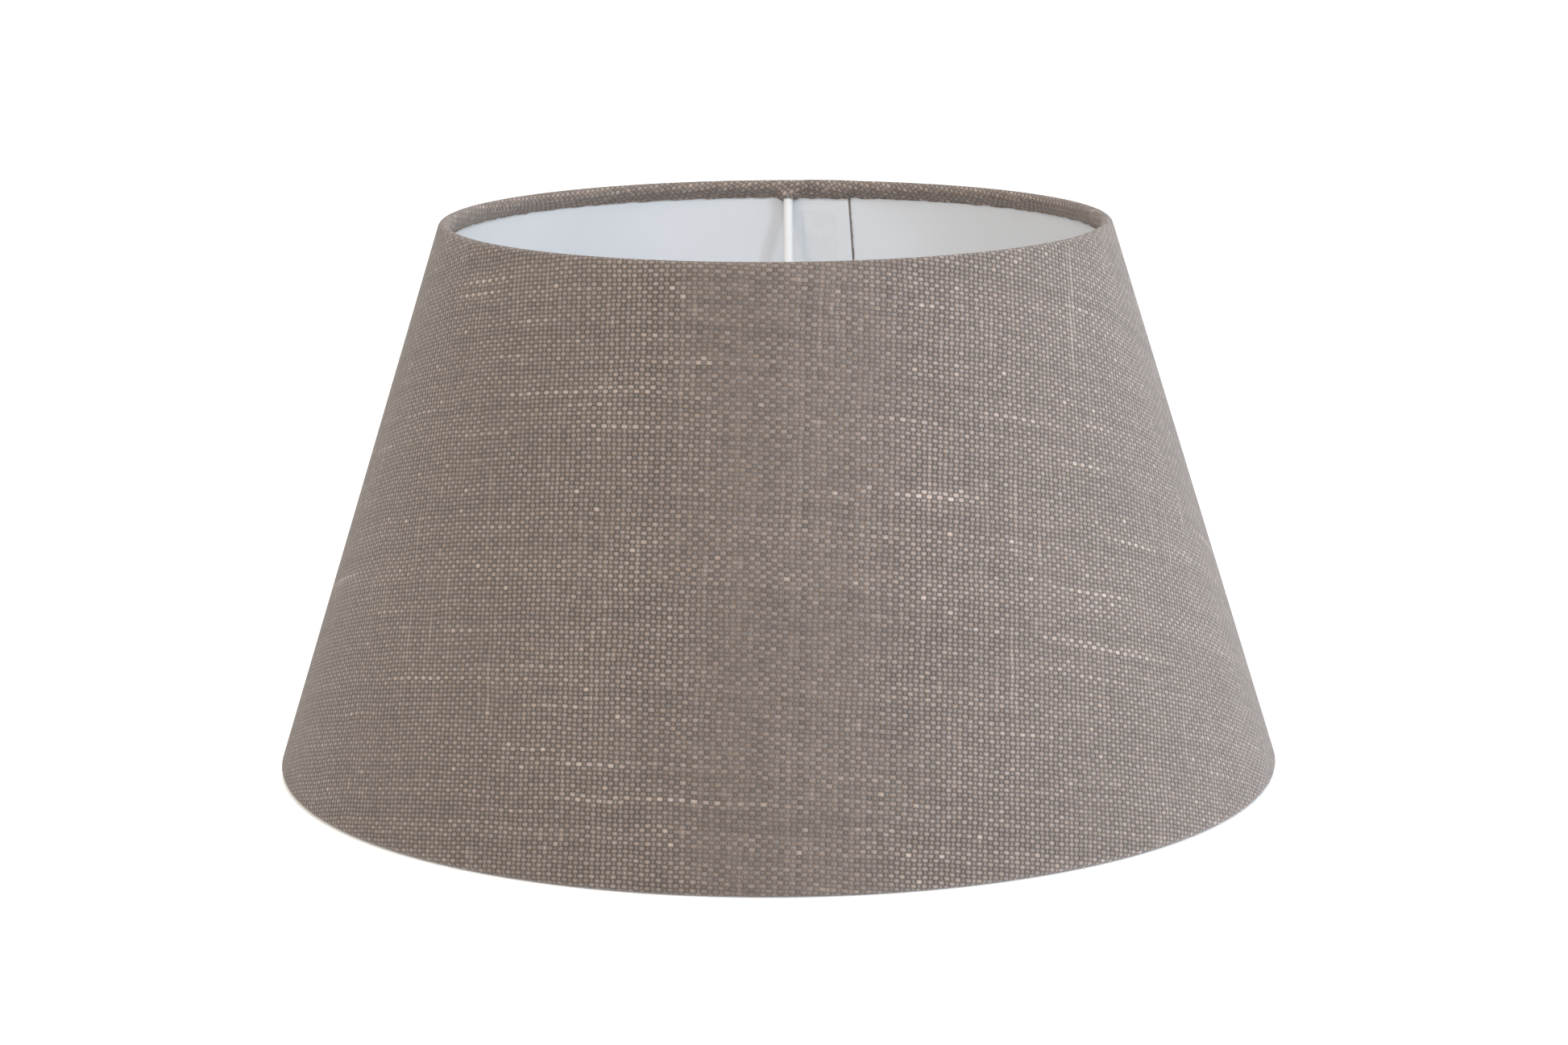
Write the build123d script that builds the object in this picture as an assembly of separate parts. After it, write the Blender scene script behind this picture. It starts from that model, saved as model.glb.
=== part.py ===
from build123d import *
import os
from math import asin, cos, degrees, hypot, radians, sin, sqrt

# A tapered hardback lamp shade. Millimetres, +Z up. The origin is the centre of the bottom
# opening, on the plane that the shade stands on. The back of the shade is towards +Y, and an
# azimuth is measured from there towards +X.

# Overall size, over the cloth.
BOTTOM_DIAMETER = 300.0
TOP_DIAMETER = 199.5
HEIGHT = 164.0

# Wall and rims. The cloth is rolled round a wire ring at each edge and glued down inside, and
# the gap is what the glue takes up between two layers.
CLOTH_THICKNESS = 0.45
LINER_THICKNESS = 0.35
RIM_WIRE_DIAMETER = 2.6
GLUE_GAP = 0.05
HEM_DEPTH = 6.2
TUCK_ANGLE = 35.0
HEM_BEND_RADIUS = 1.2

# Lap joint of the liner at the back, as azimuths: the flap leaves the wall over a narrow web,
# and the taped overlap runs from the lap's start to the flap's edge.
LAP_WEB_AZIMUTH = 4.0
LAP_START_AZIMUTH = 5.6
LAP_EDGE_AZIMUTH = 13.5
SEAM_TAPE_THICKNESS = 0.15

# Spider: three arms from the top ring to a sunk ring for the lampholder.
ARM_NAMES = ["spider_arm_back", "spider_arm_right", "spider_arm_left"]
ARM_AZIMUTH = 2.4
ARM_WIRE_DIAMETER = 3.0
ARM_BEND_RADIUS = 12.0
ARM_START_DROP = 1.1
ARM_END_FILLET = 1.0
ARM_SLIT_CLEARANCE = 0.4
ARM_SLIT_DROP = 0.4
SEAT_DROP = 46.0

# Lampholder ring, pressed from sheet with its rim turned down.
HOLDER_HOLE_DIAMETER = 42.0
HOLDER_RING_DIAMETER = 56.0
HOLDER_SHEET = 1.2
HOLDER_LIP_DEPTH = 4.4
HOLDER_BEND_RADIUS = 1.6

# Reducer that drops into the lampholder ring and takes a smaller lampholder.
REDUCER_HOLE_DIAMETER = 29.0
REDUCER_FLANGE_DIAMETER = 47.0
REDUCER_FLANGE_THICKNESS = 1.4
REDUCER_SPIGOT_DEPTH = 3.4
REDUCER_WALL = 1.4
REDUCER_CLEARANCE = 0.3
REDUCER_SEAT_GAP = 0.05
REDUCER_RIB_COUNT = 6
REDUCER_EDGE_RADIUS = 0.4

# Blank film label on the liner's flap, beside the back arm.
LABEL_WIDTH = 11.0
LABEL_LENGTH = 45.0
LABEL_DROP = 9.0
LABEL_AZIMUTH = 8.0
LABEL_THICKNESS = 0.1

WIRE_RADIUS = RIM_WIRE_DIAMETER / 2
CLOTH_MID_RADIUS = WIRE_RADIUS + GLUE_GAP + CLOTH_THICKNESS / 2
ROLL_RADIUS = CLOTH_MID_RADIUS + CLOTH_THICKNESS / 2
ARM_RADIUS = ARM_WIRE_DIAMETER / 2

# Centres of the two rim wires, as (radius, height).
TOP_WIRE = (TOP_DIAMETER / 2 - ROLL_RADIUS, HEIGHT - ROLL_RADIUS)
BOTTOM_WIRE = (BOTTOM_DIAMETER / 2 - ROLL_RADIUS, ROLL_RADIUS)

# The wall leans inwards. As (radius, height), OUTWARD is its normal and UPWARD runs along it.
WALL_RUN = BOTTOM_WIRE[0] - TOP_WIRE[0]
WALL_RISE = TOP_WIRE[1] - BOTTOM_WIRE[1]
WALL_LENGTH = hypot(WALL_RUN, WALL_RISE)
OUTWARD = (WALL_RISE / WALL_LENGTH, WALL_RUN / WALL_LENGTH)
UPWARD = (-WALL_RUN / WALL_LENGTH, WALL_RISE / WALL_LENGTH)

# Faces of the wall's layers, as distances out from the line through the two wire centres.
LINER_OUTER = WIRE_RADIUS
LINER_INNER = LINER_OUTER - LINER_THICKNESS
HEM_MID = LINER_INNER - GLUE_GAP - CLOTH_THICKNESS / 2
LAP_TAPE_INNER = LINER_INNER - SEAM_TAPE_THICKNESS
LAP_FLAP_INNER = LAP_TAPE_INNER - LINER_THICKNESS

# The liner's edge stops just short of the rim wire.
LINER_END = sqrt(WIRE_RADIUS**2 - LINER_INNER**2) + 2 * GLUE_GAP

SEAT_HEIGHT = HEIGHT - SEAT_DROP
HOLDER_TOP = SEAT_HEIGHT + HOLDER_SHEET
ARM_RUN_HEIGHT = HOLDER_TOP - HOLDER_LIP_DEPTH / 2


def wall_point(wire, edge_sign, out, along):
    """(radius, height) of a point at a distance out from a rim wire and along the wall.

    The edge sign is +1 at the top and -1 at the bottom, and along grows towards that edge.
    """
    radius = wire[0] + out * OUTWARD[0] + edge_sign * along * UPWARD[0]
    height = wire[1] + out * OUTWARD[1] + edge_sign * along * UPWARD[1]
    return radius, height


def rim_point(wire, edge_sign, radius, angle):
    """Point of a circle round a rim wire. Angle 0 is outwards and 90 towards the edge."""
    turn = radians(angle)
    return wall_point(wire, edge_sign, radius * cos(turn), radius * sin(turn))


def on_profile(points):
    """The (radius, height) points as 3-D points of the XZ plane."""
    return [(radius, 0, height) for radius, height in points]


def at_azimuth(shape, azimuth):
    """A shape built on the +X side, turned to an azimuth."""
    return Rot(0, 0, 90 - azimuth) * shape


def wall_band(inner, outer, top_drop, bottom_drop, start_azimuth=0.0, end_azimuth=360.0):
    """Part of the wall between two distances out from the line through the wire centres.

    The drops are measured down the wall from the top wire's centre.
    """
    corners = [
        wall_point(TOP_WIRE, 1, inner, -top_drop),
        wall_point(TOP_WIRE, 1, outer, -top_drop),
        wall_point(TOP_WIRE, 1, outer, -bottom_drop),
        wall_point(TOP_WIRE, 1, inner, -bottom_drop),
    ]
    profile = make_face(Polyline(*on_profile(corners), close=True))
    band = revolve(profile, Axis.Z, end_azimuth - start_azimuth)
    return at_azimuth(band, end_azimuth)


def lap_band(inner, outer, start_azimuth, end_azimuth):
    """Part of the lap joint, from one hem's cut edge to the other's."""
    hem_end = HEM_DEPTH - ROLL_RADIUS + GLUE_GAP
    return wall_band(inner, outer, hem_end, WALL_LENGTH - hem_end, start_azimuth, end_azimuth)


def rolled_edge(wire, edge_sign, offset):
    """One face of the cloth from the wall, round a rim wire, to the hem's cut edge.

    The offset is measured from the middle of the cloth, towards its right side.
    """
    radius = CLOTH_MID_RADIUS + offset
    roll_end = 180 + TUCK_ANGLE
    roll_turns = (0, roll_end / 2, roll_end)
    roll = ThreePointArc(*on_profile(rim_point(wire, edge_sign, radius, turn) for turn in roll_turns))
    leaving_out = radius * cos(radians(roll_end))
    leaving_along = radius * sin(radians(roll_end))
    hem_out = HEM_MID - offset
    slope = (hem_out - leaving_out) / sin(radians(TUCK_ANGLE))
    landing_along = leaving_along - slope * cos(radians(TUCK_ANGLE))
    hem = [
        (leaving_out, leaving_along),
        (hem_out, landing_along),
        (hem_out, ROLL_RADIUS - HEM_DEPTH),
    ]
    hem_line = FilletPolyline(
        *on_profile(wall_point(wire, edge_sign, out, along) for out, along in hem),
        radius=HEM_BEND_RADIUS - offset,
    )
    return roll, hem_line


def cloth_face(offset):
    """Edges of one face of the cloth, with the ends of its top and bottom hems."""
    top_roll, top_hem = rolled_edge(TOP_WIRE, 1, offset)
    bottom_roll, bottom_hem = rolled_edge(BOTTOM_WIRE, -1, offset)
    wall = Line(top_roll @ 0, bottom_roll @ 0)
    face = [*top_hem.edges(), top_roll, wall, bottom_roll, *bottom_hem.edges()]
    return face, top_hem @ 1, bottom_hem @ 1


def fabric_cover():
    """The cloth in one piece: outer wall, both rolled rims and both hems, slit for the arms."""
    right_side, right_top, right_bottom = cloth_face(CLOTH_THICKNESS / 2)
    wrong_side, wrong_top, wrong_bottom = cloth_face(-CLOTH_THICKNESS / 2)
    cut_edges = [Line(right_top, wrong_top), Line(right_bottom, wrong_bottom)]
    cloth = revolve(make_face([*right_side, *wrong_side, *cut_edges]), Axis.Z, 360)
    half_slit = degrees(asin((ARM_RADIUS + ARM_SLIT_CLEARANCE) / TOP_WIRE[0]))
    for azimuth in arm_azimuths():
        start, end = azimuth - half_slit, azimuth + half_slit
        cloth -= wall_band(-2 * ROLL_RADIUS, LINER_INNER, ARM_SLIT_DROP, HEM_DEPTH, start, end)
    return cloth


def seam_tape():
    """Double-sided tape that holds the liner's flap down on the wall."""
    return lap_band(LAP_TAPE_INNER, LINER_INNER, LAP_START_AZIMUTH, LAP_EDGE_AZIMUTH)


def liner():
    """The stiff white liner: the wall, and the flap of its lap joint standing off by the seam tape."""
    wall = wall_band(LINER_INNER, LINER_OUTER, LINER_END, WALL_LENGTH - LINER_END)
    lap = lap_band(LAP_FLAP_INNER, LINER_INNER, LAP_WEB_AZIMUTH, LAP_EDGE_AZIMUTH)
    return wall + (lap - seam_tape())


def blank_label():
    """Blank film label stuck to the liner's flap, its sides parallel."""
    inner = LAP_FLAP_INNER - LABEL_THICKNESS
    bottom_drop = LABEL_DROP + LABEL_LENGTH
    film = wall_band(inner, LAP_FLAP_INNER, LABEL_DROP, bottom_drop, 0, 2 * LABEL_AZIMUTH)
    strip = Box(BOTTOM_DIAMETER, LABEL_WIDTH, 2 * HEIGHT, align=(Align.MIN, Align.CENTER, Align.MIN))
    return film & at_azimuth(strip, LABEL_AZIMUTH)


def wire_ring(wire):
    """A rim wire bent into a ring."""
    section = Plane.XZ * Pos(*wire) * Circle(WIRE_RADIUS)
    return revolve(section, Axis.Z, 360)


def arm_azimuths():
    """Azimuths of the arms, evenly spaced from the back one."""
    return [ARM_AZIMUTH + arm * 360 / len(ARM_NAMES) for arm in range(len(ARM_NAMES))]


def arm_rod():
    """One arm on the +X side: down from the top ring, then in to the lampholder ring."""
    along = (ARM_START_DROP + LINER_INNER * OUTWARD[1]) / UPWARD[1]
    liner_radius, start_height = wall_point(TOP_WIRE, 1, LINER_INNER, -along)
    drop_radius = liner_radius - GLUE_GAP - ARM_RADIUS
    corners = [
        (drop_radius, start_height),
        (drop_radius, ARM_RUN_HEIGHT),
        (HOLDER_RING_DIAMETER / 2 - HOLDER_SHEET / 2, ARM_RUN_HEIGHT),
    ]
    line = FilletPolyline(*on_profile(corners), radius=ARM_BEND_RADIUS)
    rod = sweep(Plane(origin=line @ 0, z_dir=line % 0) * Circle(ARM_RADIUS), path=line)
    top_edge = rod.faces().sort_by(Axis.Z)[-1].edges()
    return fillet(top_edge, ARM_END_FILLET)


def spider_arm(azimuth):
    """An arm with its ends shaped to the two rings that it is welded to."""
    return at_azimuth(arm_rod(), azimuth) - wire_ring(TOP_WIRE) - lampholder_ring()


def lampholder_ring():
    """Pressed ring that the lampholder's shoulder bears on, with its rim turned down."""
    plate_width = (HOLDER_RING_DIAMETER - HOLDER_HOLE_DIAMETER) / 2
    plate = Pos(HOLDER_HOLE_DIAMETER / 2, SEAT_HEIGHT) * Rectangle(
        plate_width, HOLDER_SHEET, align=(Align.MIN, Align.MIN)
    )
    lip = Pos(HOLDER_RING_DIAMETER / 2, HOLDER_TOP) * Rectangle(
        HOLDER_SHEET, HOLDER_LIP_DEPTH, align=(Align.MAX, Align.MAX)
    )
    section = plate + lip
    outer_corner = section.vertices().group_by(Axis.X)[-1].sort_by(Axis.Y)[-1]
    section = fillet(outer_corner, HOLDER_BEND_RADIUS)
    return revolve(Plane.XZ * section, Axis.Z, 360)


def reducer_ring():
    """Flanged reducer: it hangs in the lampholder ring, with ribs between spigot and collar."""
    flange_bottom = HOLDER_TOP + REDUCER_SEAT_GAP
    flange_top = flange_bottom + REDUCER_FLANGE_THICKNESS
    spigot_bottom = flange_bottom - REDUCER_SPIGOT_DEPTH
    spigot_radius = HOLDER_HOLE_DIAMETER / 2 - REDUCER_CLEARANCE
    hole_radius = REDUCER_HOLE_DIAMETER / 2
    flange = Pos(0, 0, flange_bottom) * Cylinder(
        REDUCER_FLANGE_DIAMETER / 2, REDUCER_FLANGE_THICKNESS, align=(Align.CENTER, Align.CENTER, Align.MIN)
    )
    flange = fillet(flange.edges(), REDUCER_EDGE_RADIUS)
    skirts = [
        extrude(Circle(outer) - Circle(outer - REDUCER_WALL), REDUCER_SPIGOT_DEPTH)
        for outer in (spigot_radius, hole_radius + REDUCER_WALL)
    ]
    rib = Pos(hole_radius + REDUCER_WALL / 2, 0, 0) * Box(
        spigot_radius - hole_radius - REDUCER_WALL,
        REDUCER_WALL,
        REDUCER_SPIGOT_DEPTH,
        align=(Align.MIN, Align.CENTER, Align.MIN),
    )
    rib_turn = 360 / REDUCER_RIB_COUNT
    ribs = [Rot(0, 0, place * rib_turn) * rib for place in range(REDUCER_RIB_COUNT)]
    body = flange
    for piece in [*skirts, *ribs]:
        body += Pos(0, 0, spigot_bottom) * piece
    hole = Pos(0, 0, spigot_bottom) * Cylinder(
        hole_radius, flange_top - spigot_bottom, align=(Align.CENTER, Align.CENTER, Align.MIN)
    )
    return body - hole


def nodes():
    """Every piece of the shade by its node name."""
    arms = {name: spider_arm(azimuth) for name, azimuth in zip(ARM_NAMES, arm_azimuths())}
    return {
        "fabric_cover": fabric_cover(),
        "liner": liner(),
        "seam_tape": seam_tape(),
        "blank_label": blank_label(),
        "top_wire_ring": wire_ring(TOP_WIRE),
        "bottom_wire_ring": wire_ring(BOTTOM_WIRE),
        **arms,
        "lampholder_ring": lampholder_ring(),
        "reducer_ring": reducer_ring(),
    }


def main():
    os.makedirs("parts", exist_ok=True)
    for name, shape in nodes().items():
        export_step(shape, f"parts/{name}.step")


main()
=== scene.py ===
import math
from collections import namedtuple

import bmesh
import bpy
import numpy as np
from mathutils import Matrix, Vector


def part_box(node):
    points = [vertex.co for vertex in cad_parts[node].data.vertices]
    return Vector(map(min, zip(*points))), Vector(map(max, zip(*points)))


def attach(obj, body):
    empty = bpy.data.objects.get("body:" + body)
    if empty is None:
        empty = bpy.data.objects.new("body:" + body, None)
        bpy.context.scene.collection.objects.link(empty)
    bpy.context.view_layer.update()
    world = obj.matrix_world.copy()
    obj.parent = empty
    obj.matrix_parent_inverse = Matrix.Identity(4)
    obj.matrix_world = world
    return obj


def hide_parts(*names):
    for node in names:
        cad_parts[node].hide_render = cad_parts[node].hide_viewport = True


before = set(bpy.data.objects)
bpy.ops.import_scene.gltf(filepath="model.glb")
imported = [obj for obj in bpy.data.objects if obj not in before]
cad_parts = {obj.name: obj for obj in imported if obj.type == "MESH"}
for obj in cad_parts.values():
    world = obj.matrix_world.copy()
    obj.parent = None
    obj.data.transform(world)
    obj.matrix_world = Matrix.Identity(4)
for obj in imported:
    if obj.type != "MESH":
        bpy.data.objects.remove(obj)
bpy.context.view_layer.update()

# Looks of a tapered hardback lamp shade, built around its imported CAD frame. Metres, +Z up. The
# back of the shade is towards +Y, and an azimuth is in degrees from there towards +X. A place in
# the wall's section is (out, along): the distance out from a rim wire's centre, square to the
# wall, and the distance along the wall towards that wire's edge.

MM = 0.001

# Cloth of the cover. Angles of its rolled edges run round the rim wire, from outwards up over it.
CLOTH_THICKNESS = 0.45 * MM
LINER_THICKNESS = 0.35 * MM
GLUE_GAP = 0.05 * MM
HEM_DEPTH = 6.2 * MM
HEM_BEND_RADIUS = 0.975 * MM
ROLL_END = math.radians(215)
HEM_TURN = math.radians(180)
FRAYING = 0.2 * MM

# The hems stand off the wall a little at the shade's two sides.
HEM_PUFF = 1.3 * MM

# Lap of the cover at the back, in azimuths: the outer layer ends in a folded edge, over the under
# layer, and beyond the lap it comes down to the wall at LAP_FALL. At the rims the layers below it
# are trimmed away, and it lies almost flat. FOLD_HALF_TURN is in radians.
LAP_START = 5.6
LAP_END = 13.5
LAP_FALL = 15
FOLD_HALF_TURN = 1.4
TURNED_UNDER = 8 * MM
LAP_LIFT = 1.0 * MM
SINGLE_LAP_LIFT = 0.5 * MM
RIM_LAP_LIFT = 0.12 * MM
LAP_RIM_LENGTH = 12 * MM

# Lap of the liner inside: its flap rises off the wall, passes over the other end and is taped.
# The liner's ripples fade from this azimuth towards the lap, on both sides.
FLAP_LIFT = 0.5 * MM
FLAP_RISE = (-3.5, 4.5)
LINER_RIPPLE = 0.07 * MM
RIPPLE_FADE = 40

# Arms, and the slits in the top hem that let them through. A slit starts, opens and ends at these
# depths along the cloth from the roll's crest. Beside an arm the hem bulges inwards over its end,
# and one edge of the slit droops a little.
ARM_AZIMUTHS = (2.4, 122.4, 242.4)
ARM_DIAMETER = 3.0 * MM
SLIT_START = 3.7 * MM
SLIT_OPENING = 5.9 * MM
SLIT_END = 7.1 * MM
SLIT_HALF_GAP = 0.15 * MM
SLIT_HALF_WIDTH = 1.65 * MM
SLIT_REACH = 3 * MM
BULGE_FLAT = 1.6 * MM
BULGE_EDGE = 4.0 * MM
BULGE_RELAXED = 0.6
DROOP = 0.7 * MM
DROOP_WIDTH = 0.5 * MM

# Raw edge of the cover that shows along the liner's lap.
SEAM_EDGE_WIDTH = 0.6 * MM

# Weave of the cloth. fill is the share of its pitch that a thread fills, and tone the range of its
# brightness. A thread wanders by a share of its pitch, has slubs where the noise along it, of the
# scale slubs, is high, and swells there. seed keeps the two sets' random tones apart. The warp runs
# down the front, and both sets of threads lie a little askew.
Threads = namedtuple("Threads", "pitch fill tone wander slubs swell seed")
WARP = Threads(1.57 * MM, 0.74, (0.79, 0.99), 0.2, 18, 0.6, 0)
WEFT = Threads(1.2 * MM, 1.1, (0.97, 1.23), 0.22, 16, 0.8, 0.37)
WARP_TILT = 0.026
WEFT_SLOPE = 0.064

# Neighbouring threads take their slubs' noise SLUB_STEP apart, and a slub grows over the range
# SLUB_NOISE. Slubs and flecks are brighter, and slubs the more so the deeper the painted shade in
# the gaps beside them.
SLUB_STEP = 7.3
SLUB_NOISE = (0.65, 0.75)
SLUB_GLOW = (0.15, 0.45)
SLUB_GLOW_DEPTH = (0.4, 1.1)
FLECK_GLOW = 0.45

# How deep the painted shade in the gaps between the threads is, with painted light on their crowns:
# least near CLOSE_MIDDLE, on the front, and rising over the distances CLOSE_REACH from there. At
# the threads' mean height the tone is the same for any depth. The rolled edges are painted paler,
# as painted light, and their painted gap shade is weaker.
GAP_SHADE_DEPTH = (0.45, 1.2)
CLOSE_MIDDLE = 3 * MM
CLOSE_REACH = (12 * MM, 42 * MM)
MEAN_HEIGHT = 0.43
MEAN_TONE = 0.96
ROLLED_GAP_SHADE_CUT = 0.4
ROLLED_PAINTED_LIGHT = 0.6

# The noise of a material seldom leaves this range.
NOISE_RANGE = (0.3, 0.7)

# Camera, in front of the shade and above it. Turns are in degrees.
CAMERA_PLACE = (0, -1.1534, 0.3065)
CAMERA_PITCH = 11.5
CAMERA_YAW = -0.1
CAMERA_ROLL = -0.32
CAMERA_LENS = 89.83

# Lights, placed by their azimuth and their height above the horizon. size is in metres, power in
# watts.
Softbox = namedtuple("Softbox", "name azimuth height size power colour")
LIGHT_DISTANCE = 1.8
SOFTBOXES = (
    Softbox("key_light", 139, 34, 0.25, 11, (0.74, 0.86, 1.0)),
    Softbox("side_light", 98, 1, 0.22, 25, (0.75, 0.86, 1.0)),
    Softbox("front_light", 172, 36, 1.2, 3, (0.9, 0.95, 1.0)),
    Softbox("fill_light", 220, 34, 0.25, 5.5, (1.0, 0.79, 0.5)),
    Softbox("top_light", 180, 76, 0.6, 6, (1.0, 0.97, 0.94)),
)

# The sky is dimmer and warmer on the left. It changes between two places on a scale that runs from
# 0 at the far left to 1 at the far right.
SKY = (1.0, 1.0, 0.99, 1)
SHADED_SKY = (0.5, 0.45, 0.35, 1)
SKY_CHANGE = (0.0, 0.3)
SKY_STRENGTH = 1.06

# Colours, as linear reflectances.
CLOTH_WARM = (0.142, 0.1085, 0.088)
CLOTH_COOL = (0.133, 0.1135, 0.105)
LINER_WHITE = (0.74, 0.755, 0.785)
COAT_WHITE = (0.80, 0.80, 0.80)
PLASTIC_WHITE = (0.78, 0.78, 0.75)
LABEL_WHITE = (0.7, 0.715, 0.735)
TAPE_WHITE = (0.7, 0.7, 0.66)
ZINC = (0.62, 0.62, 0.63)
FLOOR_WHITE = (0.97, 0.97, 0.97)

# The floor glows a little, like a light table, which takes the shadows off it.
FLOOR_GLOW = 0.16


def rim_wire(node):
    """(ring radius, height, wire radius) of a rim wire."""
    low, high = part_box(node)
    wire_radius = (high.z - low.z) / 2
    return high.x - wire_radius, low.z + wire_radius, wire_radius


TOP_RADIUS, TOP_HEIGHT, WIRE_RADIUS = rim_wire("top_wire_ring")
BOTTOM_RADIUS, BOTTOM_HEIGHT, _ = rim_wire("bottom_wire_ring")
TOP_WIRE = np.array([TOP_RADIUS, TOP_HEIGHT])
BOTTOM_WIRE = np.array([BOTTOM_RADIUS, BOTTOM_HEIGHT])
ROLL_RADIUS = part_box("fabric_cover")[1].z - TOP_HEIGHT
WALL_LENGTH = float(np.linalg.norm(BOTTOM_WIRE - TOP_WIRE))
DOWNWARD = (BOTTOM_WIRE - TOP_WIRE) / WALL_LENGTH
OUTWARD = np.array([-DOWNWARD[1], DOWNWARD[0]])
LINER_INNER = WIRE_RADIUS - LINER_THICKNESS
HEM_OUT = LINER_INNER - GLUE_GAP - CLOTH_THICKNESS
QUARTER_ROLL = ROLL_RADIUS * math.pi / 2
TURNED_DEGREES = math.degrees(TURNED_UNDER / BOTTOM_RADIUS)

# The cover lies on a cone. Its flat pattern turns by FLAT_TURN for each turn round the shade, and
# APEX_TO_TOP is how far the top wire's centre is from the cone's apex, along the cover.
FLAT_TURN = float(DOWNWARD[0])
APEX_TO_TOP = float(TOP_RADIUS + ROLL_RADIUS * OUTWARD[0]) / FLAT_TURN

# Radius of the arms' inner faces, and of the cloth that passes over them.
ARM_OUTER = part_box("spider_arm_back")[1].y / math.cos(math.radians(ARM_AZIMUTHS[0]))
ARM_INNER = ARM_OUTER - ARM_DIAMETER
BULGE_RADIUS = ARM_INNER - GLUE_GAP - CLOTH_THICKNESS


def smooth_step(x, start, end):
    """0 before start, 1 after end, smooth between them."""
    t = np.clip((np.asarray(x, float) - start) / (end - start), 0, 1)
    return t * t * (3 - 2 * t)


def ripple(x, seed, shortest, longest):
    """Smooth irregular wave between about -1 and 1 along x, the same each run."""
    draws = np.random.default_rng(seed)
    lengths = draws.uniform(shortest, longest, 6)
    starts = draws.uniform(0, 2 * math.pi, len(lengths))
    return sum(np.sin(2 * math.pi * x / w + start) for w, start in zip(lengths, starts)) / 3


# ---- The cover's shape

Section = namedtuple("Section", "points normals flat depth rim top")
Column = namedtuple("Column", "azimuth lift sideways side")


def arc(out, along, radius, start, end, count):
    """(out, along, angle of the normal) round an arc. With a negative radius it is hollow."""
    return [
        (out + radius * math.cos(angle), along + radius * math.sin(angle), angle)
        for angle in np.linspace(start, end, count)
    ]


def rolled_edge():
    """(out, along, angle of the normal) round a rolled edge, from the wall to the hem's cut."""
    roll = arc(0, 0, ROLL_RADIUS, 0, ROLL_END, 24)
    leaving = roll[-1]
    centre_out = HEM_OUT - HEM_BEND_RADIUS
    tuck_out = centre_out - HEM_BEND_RADIUS * math.cos(ROLL_END) - leaving[0]
    tuck_along = -tuck_out / math.tan(ROLL_END)
    centre_along = leaving[1] + tuck_along + HEM_BEND_RADIUS * math.sin(ROLL_END)
    bend = arc(centre_out, centre_along, -HEM_BEND_RADIUS, ROLL_END, HEM_TURN, 5)
    tuck = [
        (leaving[0] + share * tuck_out, leaving[1] + share * tuck_along, ROLL_END)
        for share in (0.33, 0.67)
    ]
    cut = ROLL_RADIUS - HEM_DEPTH
    hem = [(HEM_OUT, along, HEM_TURN) for along in np.linspace(centre_along, cut, 10)[1:]]
    return np.array(roll + tuck + bend + hem)


def placed_edge(edge, wire, upward):
    """A rolled edge's points and normals round one rim wire, as (radius, height) rows."""
    points = wire + edge[:, :1] * OUTWARD + edge[:, 1:2] * upward
    normals = np.cos(edge[:, 2:]) * OUTWARD + np.sin(edge[:, 2:]) * upward
    return points, normals


def cover_section():
    """The section of the cover's right side, from the top hem's cut edge to the bottom one's.

    flat is the distance down the cloth from level with the top wire's centre, and depth the
    distance past the crest of a roll. rim is 1 on the rolled edges and 0 on the open wall, and
    top is true in the upper half.
    """
    edge = rolled_edge()
    top, top_normals = placed_edge(edge, TOP_WIRE, -DOWNWARD)
    bottom, bottom_normals = placed_edge(edge, BOTTOM_WIRE, DOWNWARD)
    shares = np.linspace(0, 1, 42)[1:-1, None]
    wall = top[:1] * (1 - shares) + bottom[:1] * shares
    points = np.vstack([top[::-1], wall, bottom])
    normals = np.vstack([top_normals[::-1], np.repeat([OUTWARD], len(wall), 0), bottom_normals])
    steps = np.linalg.norm(np.diff(points, axis=0), axis=1)
    flat = np.concatenate([[0], np.cumsum(steps)])
    flat -= flat[len(edge) - 1]
    from_middle = np.abs(flat - WALL_LENGTH / 2)
    rim = smooth_step(from_middle, WALL_LENGTH / 2 - LAP_RIM_LENGTH, WALL_LENGTH / 2)
    depth = from_middle - WALL_LENGTH / 2 - QUARTER_ROLL
    return Section(points, normals, flat, depth, rim, flat < WALL_LENGTH / 2)


def outer_lift(azimuth, rim):
    """How far the lap's outer layer stands off the wall. Its allowance is trimmed at the rims."""
    turned_end = LAP_START + TURNED_DEGREES
    single = smooth_step(azimuth, turned_end, turned_end + 1)
    on_wall = LAP_LIFT * (1 - single) + SINGLE_LAP_LIFT * single
    standing = 1 - smooth_step(azimuth, LAP_END, LAP_FALL)
    return (on_wall * (1 - rim) + RIM_LAP_LIFT * rim) * standing


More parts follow.
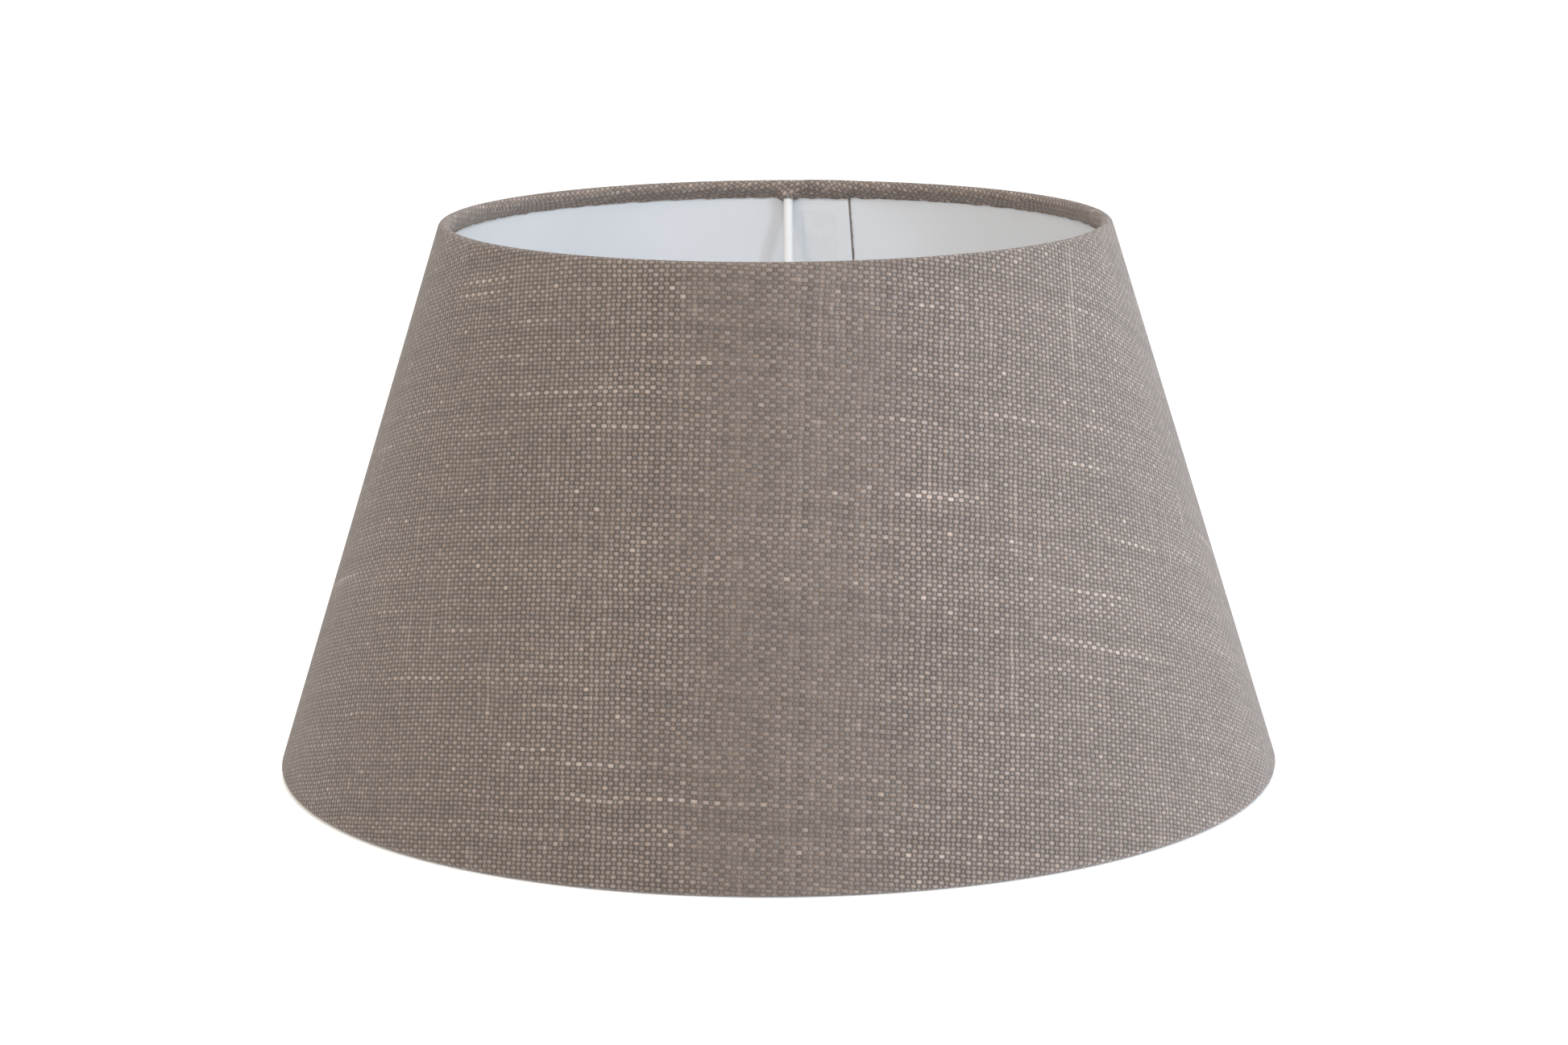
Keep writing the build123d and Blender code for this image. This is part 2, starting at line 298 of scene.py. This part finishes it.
def cover_columns():
    """The cover's columns: the lap's turned-under part, its fold, then once round the shade.

    lift is a share of the lap's lift, sideways a step along the wall in fold radii, and side
    tells the two columns apart that lie on one slit.
    """
    last = 360 + LAP_END
    under = [
        Column(azimuth, 0, 0, 0)
        for azimuth in np.linspace(LAP_START + TURNED_DEGREES, LAP_START, 7)
    ]
    fold = [
        Column(LAP_START, (1 + math.sin(turn)) / 2, math.cos(turn), 0)
        for turn in np.linspace(-FOLD_HALF_TURN, FOLD_HALF_TURN, 9)
    ]
    arms = [arm for arm in arm_azimuths() if LAP_START < arm < last]
    slits = [Column(arm, 1, 0, side) for arm in arms for side in (-1, 1)]
    steps = (0.1, 0.25, 0.45, 0.7, 1.0, 1.3, 1.7, 2.2, 2.8)
    kept_clear = 3
    beside = [
        Column(arm + side * step, 1, 0, 0)
        for arm in arms for side in (-1, 1) for step in steps
    ]
    lap = np.arange(LAP_START, LAP_END + 3, 0.4)
    plain = [*lap, *np.arange(lap[-1] + 1, last - 0.5, 1), 360 + LAP_START, last]
    clear = [
        Column(azimuth, 1, 0, 0)
        for azimuth in plain if all(abs(azimuth - arm) > kept_clear for arm in arms)
    ]
    round_shade = sorted(clear + slits + beside, key=lambda column: (column.azimuth, column.side))
    return under + fold + round_shade


def arm_azimuths():
    """The arms' azimuths, in the shade's first turn and in its second, where the lap ends."""
    return [arm + turn for arm in ARM_AZIMUTHS for turn in (0, 360)]


def slit_opening(depth):
    """Half the width of a slit at each depth: a cut that opens at the end of the hem."""
    cut = SLIT_HALF_GAP * smooth_step(depth, SLIT_START, SLIT_START + 2 * SLIT_HALF_GAP)
    return cut + (SLIT_HALF_WIDTH - SLIT_HALF_GAP) * smooth_step(depth, SLIT_OPENING, SLIT_END)


def passed_arm(section, points, azimuth, side):
    """Takes the top hem over an arm's end, with its slit open: the points, and a step sideways."""
    arm = min(arm_azimuths(), key=lambda arm: abs(arm - azimuth))
    beside = math.radians(azimuth - arm) * TOP_RADIUS
    side = side or math.copysign(1, beside)
    spread = math.exp(-abs(beside) / SLIT_REACH) * section.top
    sideways = side * slit_opening(section.depth) * spread
    past_slit = smooth_step(section.depth, SLIT_OPENING, SLIT_END)

    inside = section.depth - QUARTER_ROLL
    innermost = TOP_WIRE - ROLL_RADIUS * OUTWARD
    inward = smooth_step(inside, 0, ROLL_RADIUS)
    bulge = innermost[0] + (BULGE_RADIUS - innermost[0]) * inward
    over_arm = np.stack([bulge, innermost[1] - inside], 1)
    share = 1 - smooth_step(np.abs(beside + sideways), BULGE_FLAT, BULGE_EDGE)
    share *= 1 - BULGE_RELAXED * past_slit
    share = (share * (inside > 0) * section.top)[:, None]
    points = points * (1 - share) + over_arm * share

    droop = DROOP * math.exp(-abs(beside) / DROOP_WIDTH) * (side < 0) * section.top
    points += (droop * past_slit)[:, None] * DOWNWARD
    return points, sideways


def flap_share(azimuth):
    """Share of the flap's lift at an azimuth, for the hems that lie over it."""
    signed = (azimuth + 180) % 360 - 180
    return float(smooth_step(signed, *FLAP_RISE) - smooth_step(signed, LAP_END, LAP_FALL))


def turned(points, sideways, azimuth):
    """(radius, height) points with a sideways step, as x, y, z rows at an azimuth."""
    sine, cosine = math.sin(math.radians(azimuth)), math.cos(math.radians(azimuth))
    x = points[:, 0] * sine + sideways * cosine
    y = points[:, 0] * cosine - sideways * sine
    return np.stack([x, y, points[:, 1]], 1)


def column_points(section, column):
    """x, y, z rows down one of the cover's columns."""
    lift = outer_lift(column.azimuth, section.rim)
    off = GLUE_GAP + column.lift * (lift - GLUE_GAP) if column.lift < 1 else lift
    inside = section.depth - QUARTER_ROLL
    puff = HEM_PUFF * math.sin(math.radians(column.azimuth)) ** 8
    hem_lift = FLAP_LIFT * flap_share(column.azimuth) + puff
    off = off + hem_lift * smooth_step(inside, 0, HEM_DEPTH / 2)
    points = section.points + section.normals * off[:, None]
    fray = FRAYING * ripple(math.radians(column.azimuth) * TOP_RADIUS, 3, 3 * MM, 14 * MM)
    away = np.where(section.top, 1, -1) * smooth_step(section.depth, HEM_DEPTH / 2, HEM_DEPTH)
    points += (fray * away)[:, None] * DOWNWARD
    points, sideways = passed_arm(section, points, column.azimuth, column.side)
    sideways = sideways - column.sideways * (lift - GLUE_GAP) / 2
    return turned(points, sideways, column.azimuth)


def flat_pattern(section, column):
    """The column's points on the flat pattern, x to the right and y down from the cone's apex."""
    azimuth = 2 * LAP_START - column.azimuth if column.lift == 0 else column.azimuth
    turn = math.radians(180 - azimuth) * FLAT_TURN
    reach = APEX_TO_TOP + section.flat
    return np.stack([reach * math.sin(turn), reach * math.cos(turn)], 1)


def along_threads(pattern):
    """Pattern points as distances across the warp and the weft, which lie a little askew."""
    x, y = pattern[:, 0], pattern[:, 1] - APEX_TO_TOP - WALL_LENGTH / 2
    return np.stack([x + WARP_TILT * y, y - WEFT_SLOPE * x], 1)


def mesh_object(name, points, faces, uvs=None):
    """A smooth mesh object. Points that lie on one another are welded."""
    mesh = bpy.data.meshes.new(name)
    mesh.from_pydata([tuple(p) for p in points], [], faces)
    if uvs is not None:
        layer = mesh.uv_layers.new(name="flat")
        corners = np.zeros(len(mesh.loops), int)
        mesh.loops.foreach_get("vertex_index", corners)
        layer.data.foreach_set("uv", uvs[corners].astype(np.float32).ravel())
    work = bmesh.new()
    work.from_mesh(mesh)
    bmesh.ops.remove_doubles(work, verts=work.verts, dist=1e-7)
    work.to_mesh(mesh)
    work.free()
    mesh.shade_smooth()
    made = bpy.data.objects.new(name, mesh)
    bpy.context.scene.collection.objects.link(made)
    return made


def thicken(piece, thickness):
    """Makes a sheet of the mesh by adding the cloth's thickness on its wrong side."""
    solid = piece.modifiers.new("thickness", "SOLIDIFY")
    solid.thickness = thickness
    solid.offset = -1
    solid.use_quality_normals = True


def grid_faces(columns, rows, left_out):
    """Faces between the points of neighbouring columns, facing out of the shade."""
    return [
        (c * rows + r, (c + 1) * rows + r, (c + 1) * rows + r + 1, c * rows + r + 1)
        for c in range(columns - 1) for r in range(rows - 1) if not left_out(c, r)
    ]


def cover():
    """The cover in one sheet, with rolled rims, hems, lap and slits, and its flat size and area."""
    section = cover_section()
    columns = cover_columns()
    points = np.vstack([column_points(section, column) for column in columns])
    pattern = np.vstack([flat_pattern(section, column) for column in columns])

    def left_out(c, r):
        """True in a slit, and where the lap's lower layers are trimmed away at the rims."""
        column = columns[c]
        below = column.lift < 1 or column.azimuth >= 360 + LAP_START
        return column.side == -1 or (below and section.rim[r] > 0.5)

    faces = grid_faces(len(columns), len(section.flat), left_out)
    piece = mesh_object("shade_cover", points, faces, along_threads(pattern))
    thicken(piece, CLOTH_THICKNESS)
    size = np.ptp(pattern, axis=0)
    reach = APEX_TO_TOP + section.flat[[0, -1]]
    turn = math.radians(360 + LAP_END - LAP_START + TURNED_DEGREES) * FLAT_TURN
    area = (reach[1] ** 2 - reach[0] ** 2) / 2 * turn
    return piece, (float(size[0]), float(size[1])), float(area)


def liner():
    """The white liner: one sheet whose flap laps over its other end at the back."""
    end = math.sqrt(WIRE_RADIUS**2 - LINER_INNER**2) + 2 * GLUE_GAP
    drops = np.linspace(end, WALL_LENGTH - end, 60)
    wall = TOP_WIRE + drops[:, None] * DOWNWARD
    rise, risen = 360 + FLAP_RISE[0], 360 + FLAP_RISE[1]
    last = 360 + LAP_END
    points = []
    azimuths = [*np.arange(LAP_START, rise, 1), *np.arange(rise, last, 0.5), last]
    for azimuth in azimuths:
        flap = smooth_step(azimuth, rise, risen)
        away_from_lap = smooth_step(azimuth, LAP_END, RIPPLE_FADE)
        away_from_lap -= smooth_step(azimuth, 360 - RIPPLE_FADE, rise)
        round_shade = math.radians(azimuth) * TOP_RADIUS
        wave = ripple(round_shade, 7, 40 * MM, 90 * MM) * ripple(drops, 8, 60 * MM, 150 * MM)
        inward = FLAP_LIFT * flap + LINER_RIPPLE * away_from_lap * (1 + wave) / 2
        place = wall + ((LINER_INNER - inward) * np.ones(len(drops)))[:, None] * OUTWARD
        points.append(turned(place, 0, azimuth))
    faces = [face[::-1] for face in grid_faces(len(azimuths), len(drops), lambda c, r: False)]
    piece = mesh_object("shade_liner", np.vstack(points), faces)
    thicken(piece, LINER_THICKNESS)
    return piece


def seam_edge():
    """The cover's raw edge that shows as a thin line along the liner's lap, from hem to hem."""
    hem = HEM_DEPTH - ROLL_RADIUS
    drops = np.linspace(hem, WALL_LENGTH - hem, 130)
    under, face = LINER_INNER, HEM_OUT + GLUE_GAP
    corners = ((under, 0), (under, 1), (face, 0.8), (face, 0))
    points = []
    for drop in drops:
        place = TOP_WIRE + drop * DOWNWARD
        width = SEAM_EDGE_WIDTH * (1 + 0.2 * ripple(drop, 5, 2 * MM, 9 * MM))
        for out, beyond in corners:
            radius, height = place + out * OUTWARD
            angle = math.radians(LAP_END) + width * beyond / radius
            points.append((radius * math.sin(angle), radius * math.cos(angle), height))
    faces = [
        (4 * r + k, 4 * r + (k + 1) % 4, 4 * r + 4 + (k + 1) % 4, 4 * r + 4 + k)
        for r in range(len(drops) - 1) for k in range(4)
    ]
    last = 4 * (len(drops) - 1)
    faces += [(3, 2, 1, 0), (last, last + 1, last + 2, last + 3)]
    uvs = np.array([(p[0], p[2]) for p in points])
    return mesh_object("cover_seam_edge", points, faces, uvs)


# ---- Materials

class Nodes:
    """Short calls that add shader nodes to a tree. A value is a number or a node's output."""

    def __init__(self, tree):
        self.tree = tree

    def feed(self, node, values):
        """Sets or links a node's inputs, which are given by name or number."""
        for socket, value in values.items():
            if isinstance(value, bpy.types.NodeSocket):
                self.tree.links.new(value, node.inputs[socket])
            else:
                node.inputs[socket].default_value = value

    def node(self, kind, values, **settings):
        """A new node with its settings and inputs."""
        made = self.tree.nodes.new("ShaderNode" + kind)
        for name, value in settings.items():
            setattr(made, name, value)
        self.feed(made, values)
        return made

    def math(self, operation, *values):
        return self.node("Math", dict(enumerate(values)), operation=operation).outputs[0]

    def product(self, first, *others):
        for other in others:
            first = self.math("MULTIPLY", first, other)
        return first

    def span(self, value, low, high, to_low, to_high):
        """Maps low..high to to_low..to_high, and stops at both ends."""
        values = {"Value": value, 1: low, 2: high, 3: to_low, 4: to_high}
        return self.node("MapRange", values).outputs[0]

    def split(self, vector):
        """The x and y of a vector."""
        parts = self.node("SeparateXYZ", {0: vector})
        return parts.outputs[0], parts.outputs[1]

    def join(self, x, y):
        return self.node("CombineXYZ", {0: x, 1: y}).outputs[0]

    def noise(self, vector, scale, detail=2):
        values = {"Vector": vector, "Scale": scale, "Detail": detail}
        return self.node("TexNoise", values).outputs[0]

    def varied(self, vector, scale, low, high, detail=2):
        """Noise that runs from low to high."""
        return self.span(self.noise(vector, scale, detail), *NOISE_RANGE, low, high)

    def tinted(self, colour, factor):
        """A colour, brighter and darker by a factor."""
        scaled = self.node("VectorMath", {0: colour, "Scale": factor}, operation="SCALE")
        return scaled.outputs[0]

    def mix(self, share, first, second):
        """A colour between two fixed ones."""
        values = {0: share, 6: (*first, 1), 7: (*second, 1)}
        return self.node("Mix", values, data_type="RGBA").outputs[2]

    def bump(self, height, distance):
        values = {"Height": height, "Distance": distance}
        return self.node("Bump", values).outputs["Normal"]


class Look(Nodes):
    """A new material, whose shader starts with fixed values."""

    def __init__(self, name, fixed):
        self.material = bpy.data.materials.new(name)
        self.material.use_nodes = True
        super().__init__(self.material.node_tree)
        self.shader = self.tree.nodes["Principled BSDF"]
        self.feed(self.shader, fixed)

    def place(self):
        """Places in the object's own metres."""
        return self.node("TexCoord", {}).outputs["Object"]

    def finish(self, values):
        """Feeds the shader the rest of its values, and returns the material."""
        self.feed(self.shader, values)
        return self.material


def thread_height(look, threads, across, along_other):
    """How high one set of threads stands in a plain weave, and each thread's number.

    across and along_other count threads of this set and of the other one.
    """
    number = look.math("FLOOR", across)
    place = look.math("SUBTRACT", across, number)
    place = look.math("MULTIPLY_ADD", place, 2 / threads.fill, -1 / threads.fill)
    roundness = look.math("SUBTRACT", 1.0, look.math("MULTIPLY", place, place))
    roundness = look.math("MAXIMUM", roundness, 0.0)
    crossing = look.math("ADD", look.math("SUBTRACT", along_other, 0.5), number)
    wave = look.math("COSINE", look.math("MULTIPLY", crossing, math.pi))
    sign = 1 if threads is WARP else -1
    over = look.span(wave, -0.5 * sign, sign, 0, 1)
    return look.math("MULTIPLY", roundness, over), number


def thread_slub(look, threads, number, along):
    """1 where a thread is thickened by a slub, 0 where it is plain."""
    row = look.math("MULTIPLY", number, SLUB_STEP)
    along = look.math("MULTIPLY", along, threads.slubs)
    place = look.join(row, along) if threads is WARP else look.join(along, row)
    return look.span(look.noise(place, 1, 1), *SLUB_NOISE, 0, 1)


def thread_set(look, threads, across, along_other, along):
    """Height, number, slub and tone of one set of threads."""
    height, number = thread_height(look, threads, across, along_other)
    slub = thread_slub(look, threads, number, along)
    height = look.math("MULTIPLY", height, look.math("MULTIPLY_ADD", slub, threads.swell, 1.0))
    random = look.math("ADD", number, threads.seed)
    random = look.node("TexWhiteNoise", {"W": random}, noise_dimensions="1D").outputs["Value"]
    return height, number, slub, look.span(random, 0, 1, *threads.tone)


def rolled_share(look, u, v):
    """0 on the open wall to 1 on the hems, from distances across the warp and the weft."""
    middle = APEX_TO_TOP + WALL_LENGTH / 2
    across = look.math("MULTIPLY_ADD", v, -WARP_TILT, u)
    down = look.math("ADD", look.math("MULTIPLY_ADD", u, WEFT_SLOPE, v), middle)
    across_square = look.math("MULTIPLY", across, across)
    square = look.math("ADD", across_square, look.math("MULTIPLY", down, down))
    reach = look.math("SQRT", square)
    from_middle = look.math("ABSOLUTE", look.math("SUBTRACT", reach, middle))
    return look.span(from_middle, WALL_LENGTH / 2, WALL_LENGTH / 2 + 2 * QUARTER_ROLL, 0, 1)


def gap_shade_depth(look, flat, u, rolled):
    """How deep the painted shade in the gaps between the threads is, which varies over the cloth.
    """
    from_middle = look.math("ABSOLUTE", look.math("SUBTRACT", u, CLOSE_MIDDLE))
    away = look.span(from_middle, *CLOSE_REACH, -1, 1)
    uneven = look.math("MULTIPLY_ADD", look.noise(flat, 30, 1), 3, -1.5)
    depth = look.span(look.math("ADD", away, uneven), -1, 1, *GAP_SHADE_DEPTH)
    # The rolled edges get weaker painted gap shade, part of the painted light there.
    return look.math("MULTIPLY", depth, look.math("MULTIPLY_ADD", rolled, -ROLLED_GAP_SHADE_CUT, 1.0))


def cloth_look():
    """Plain-woven slubby yarn: round threads over and under, uneven tone, slubs and flecks."""
    fixed = {"Sheen Weight": 0.2, "Sheen Roughness": 0.45, "Specular IOR Level": 0.25}
    look = Look("woven_cloth", fixed)
    flat = look.node("UVMap", {}, uv_map="flat").outputs[0]
    u, v = look.split(flat)
    wander_u = look.varied(flat, 60, -WARP.wander, WARP.wander)
    wander_v = look.varied(look.join(v, u), 60, -WEFT.wander, WEFT.wander)
    warps = look.math("MULTIPLY_ADD", u, 1 / WARP.pitch, wander_u)
    wefts = look.math("MULTIPLY_ADD", v, 1 / WEFT.pitch, wander_v)
    warp, warp_number, warp_slub, warp_tone = thread_set(look, WARP, warps, wefts, v)
    weft, weft_number, weft_slub, weft_tone = thread_set(look, WEFT, wefts, warps, u)
    height = look.math("MINIMUM", look.math("MAXIMUM", warp, weft), 1.0)

    over = look.math("GREATER_THAN", warp, weft)
    under = look.math("SUBTRACT", 1.0, over)
    slub = look.math("ADD", look.product(warp_slub, over), look.product(weft_slub, under))
    tone = look.math("ADD", look.product(warp_tone, over), look.product(weft_tone, under))

    crossing = look.join(warp_number, weft_number)
    random = look.node("TexWhiteNoise", {"Vector": crossing}, noise_dimensions="2D")
    random = random.outputs["Value"]
    crossing_tone = look.span(random, 0, 1, 0.86, 1.14)
    fleck = look.span(random, 0.99, 1, 0, FLECK_GLOW)
    fibres = look.varied(flat, 2600, 0.8, 1.2, 3)
    cloudy = look.varied(flat, 18, 0.97, 1.03)

    rolled = rolled_share(look, u, v)
    # Painted shade in the gaps and painted light on the thread crowns, both set by the threads'
    # height.
    depth = gap_shade_depth(look, flat, u, rolled)
    above_mean = look.math("SUBTRACT", height, MEAN_HEIGHT)
    gap_shade = look.math("MULTIPLY_ADD", above_mean, depth, MEAN_TONE)
    slub_glow = look.product(slub, look.span(depth, *SLUB_GLOW_DEPTH, *SLUB_GLOW))
    glow = look.math("ADD", look.math("MAXIMUM", slub_glow, fleck), 1.0)
    # Painted light: the rolled edges are painted paler.
    rolled_painted_light = look.math("MULTIPLY_ADD", rolled, ROLLED_PAINTED_LIGHT, 1.0)
    factor = look.product(tone, crossing_tone, fibres, cloudy, gap_shade, glow, rolled_painted_light)

    warmth = look.span(look.noise(flat, 900, 2), 0.35, 0.65, 0, 1)
    yarn = look.mix(warmth, CLOTH_WARM, CLOTH_COOL)
    relief = look.math("MULTIPLY_ADD", slub, 0.25, height)
    relief = look.math("MULTIPLY_ADD", fibres, 0.18, relief)
    return look.finish({
        "Base Color": look.tinted(yarn, factor),
        "Roughness": look.span(height, 0, 1, 0.98, 0.8),
        "Normal": look.bump(relief, 0.3 * MM),
    })


def liner_look():
    """Satin white sheet with a very fine emboss and faint cloudiness."""
    look = Look("white_liner", {"Specular IOR Level": 0.4})
    place = look.place()
    cloudy = look.varied(place, 25, 0.96, 1.01, 3)
    grain = look.noise(place, 1800, 2)
    return look.finish({
        "Base Color": look.tinted(LINER_WHITE, cloudy),
        "Roughness": look.varied(place, 60, 0.42, 0.58, 3),
        "Normal": look.bump(grain, 0.02 * MM),
    })


def powder_coat_look():
    """White powder coat on steel: soft orange peel, slightly thin and grey here and there."""
    look = Look("white_powder_coat", {"Coat Weight": 0.15, "Coat Roughness": 0.25})
    place = look.place()
    peel = look.noise(place, 1400, 2)
    thin = look.span(look.noise(place, 700, 4), 0.66, 0.78, 1, 0.82)
    return look.finish({
        "Base Color": look.tinted(COAT_WHITE, thin),
        "Roughness": look.span(peel, *NOISE_RANGE, 0.3, 0.45),
        "Normal": look.bump(peel, 0.05 * MM),
    })


def moulded_plastic_look():
    """White moulded plastic with a fine spark-eroded grain and soft flow marks."""
    look = Look("white_plastic", {"Specular IOR Level": 0.5, "Subsurface Weight": 0.05})
    place = look.place()
    flow = look.varied(place, 160, 0.96, 1.02, 3)
    grain = look.noise(place, 3500, 2)
    return look.finish({
        "Base Color": look.tinted(PLASTIC_WHITE, flow),
        "Roughness": look.span(grain, *NOISE_RANGE, 0.36, 0.5),
        "Normal": look.bump(grain, 0.015 * MM),
    })


def steel_look():
    """Zinc-plated wire with fine drawing marks and dull spots."""
    look = Look("zinc_wire", {"Metallic": 1.0})
    place = look.place()
    spots = look.noise(place, 900, 4)
    return look.finish({
        "Base Color": look.tinted(ZINC, look.span(spots, *NOISE_RANGE, 0.8, 1.05)),
        "Roughness": look.span(spots, *NOISE_RANGE, 0.3, 0.55),
        "Normal": look.bump(spots, 0.02 * MM),
    })


def film_look(name, colour, roughness):
    """Thin plastic film with a few soft ripples."""
    look = Look(name, {"Roughness": roughness, "Coat Weight": 0.3, "Coat Roughness": 0.15})
    place = look.place()
    cloudy = look.varied(place, 300, 0.97, 1.02, 3)
    return look.finish({
        "Base Color": look.tinted(colour, cloudy),
        "Normal": look.bump(look.noise(place, 350, 2), 0.05 * MM),
    })


def paper_look():
    """Pale matt paper that glows a little."""
    glow = {"Emission Color": (1, 1, 1, 1), "Emission Strength": FLOOR_GLOW}
    look = Look("studio_paper", {"Roughness": 0.9, **glow})
    grain = look.noise(look.place(), 400, 3)
    return look.finish({
        "Base Color": look.tinted(FLOOR_WHITE, look.span(grain, *NOISE_RANGE, 0.985, 1.0)),
        "Normal": look.bump(grain, 0.02 * MM),
    })


# ---- The scene

def dress(node, material):
    """Gives a CAD node its material and smooth shading."""
    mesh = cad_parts[node].data
    mesh.materials.clear()
    mesh.materials.append(material)
    mesh.shade_smooth()
    mesh.set_sharp_from_angle(angle=math.radians(35))


def dress_frame():
    """Materials of the pieces that keep their CAD shape."""
    coat = powder_coat_look()
    zinc = steel_look()
    looks = {
        "seam_tape": film_look("seam_tape_film", TAPE_WHITE, 0.4),
        "blank_label": film_look("label_film", LABEL_WHITE, 0.3),
        "top_wire_ring": zinc,
        "bottom_wire_ring": zinc,
        "spider_arm_back": coat,
        "spider_arm_right": coat,
        "spider_arm_left": coat,
        "lampholder_ring": coat,
        "reducer_ring": moulded_plastic_look(),
    }
    for node, material in looks.items():
        dress(node, material)


def add_cover():
    """The cover and the raw edge that goes with it."""
    material = cloth_look()
    edge = seam_edge()
    piece, flat, area = cover()
    for made in (piece, edge):
        made.data.materials.append(material)
        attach(made, "shade")
    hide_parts("fabric_cover")
    print("cover's flat size, metres", flat, "area", area)


def add_liner():
    """The liner in its own mesh, for its lap's gentle rise."""
    piece = liner()
    piece.data.materials.append(liner_look())
    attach(piece, "shade")
    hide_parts("liner")


def add_floor():
    """A wide round floor of studio paper, just below the lap's fold at the shade's bottom rim."""
    work = bmesh.new()
    bmesh.ops.create_circle(work, cap_ends=True, radius=8, segments=96)
    mesh = bpy.data.meshes.new("floor")
    work.to_mesh(mesh)
    work.free()
    mesh.materials.append(paper_look())
    floor = bpy.data.objects.new("floor", mesh)
    floor.location.z = -1.25 * RIM_LAP_LIFT
    bpy.context.scene.collection.objects.link(floor)


def add_softbox(softbox):
    """A square light that faces the middle of the shade."""
    lamp = bpy.data.lights.new(softbox.name, "AREA")
    lamp.size = softbox.size
    lamp.energy = softbox.power
    lamp.color = softbox.colour
    box = bpy.data.objects.new(softbox.name, lamp)
    turn, rise = math.radians(softbox.azimuth), math.radians(softbox.height)
    level = math.cos(rise)
    away = Vector((math.sin(turn) * level, math.cos(turn) * level, math.sin(rise)))
    box.location = away * LIGHT_DISTANCE + Vector((0, 0, TOP_HEIGHT / 2))
    box.rotation_mode = "QUATERNION"
    box.rotation_quaternion = away.to_track_quat("Z", "Y")
    bpy.context.scene.collection.objects.link(box)


def add_sky():
    """White light from all round, dimmer and warmer on the left. It is also the backdrop."""
    world = bpy.data.worlds.new("studio")
    world.use_nodes = True
    sky = Nodes(world.node_tree)
    direction = sky.node("TexCoord", {}).outputs["Generated"]
    rightward = sky.math("MULTIPLY_ADD", sky.split(direction)[0], 0.5, 0.5)
    ramp = sky.node("ValToRGB", {0: rightward})
    ramp.color_ramp.interpolation = "EASE"
    for stop, place, colour in zip(ramp.color_ramp.elements, SKY_CHANGE, (SHADED_SKY, SKY)):
        stop.position = place
        stop.color = colour
    background = world.node_tree.nodes["Background"]
    sky.feed(background, {"Color": ramp.outputs[0], "Strength": SKY_STRENGTH})
    bpy.context.scene.world = world


def add_camera():
    """The camera, which looks a little down at the shade."""
    lens = bpy.data.cameras.new("camera")
    lens.lens = CAMERA_LENS
    lens.sensor_width = 36
    camera = bpy.data.objects.new("camera", lens)
    turns = ((CAMERA_YAW, "Z"), (90 - CAMERA_PITCH, "X"), (CAMERA_ROLL, "Z"))
    matrix = Matrix.Translation(CAMERA_PLACE)
    for angle, axis in turns:
        matrix = matrix @ Matrix.Rotation(math.radians(angle), 4, axis)
    camera.matrix_world = matrix
    bpy.context.scene.collection.objects.link(camera)
    bpy.context.scene.camera = camera


dress_frame()
add_liner()
add_cover()
add_floor()
for softbox in SOFTBOXES:
    add_softbox(softbox)
add_sky()
add_camera()
# Standard shows white as white, as a studio picture does.
bpy.context.scene.view_settings.view_transform = "Standard"
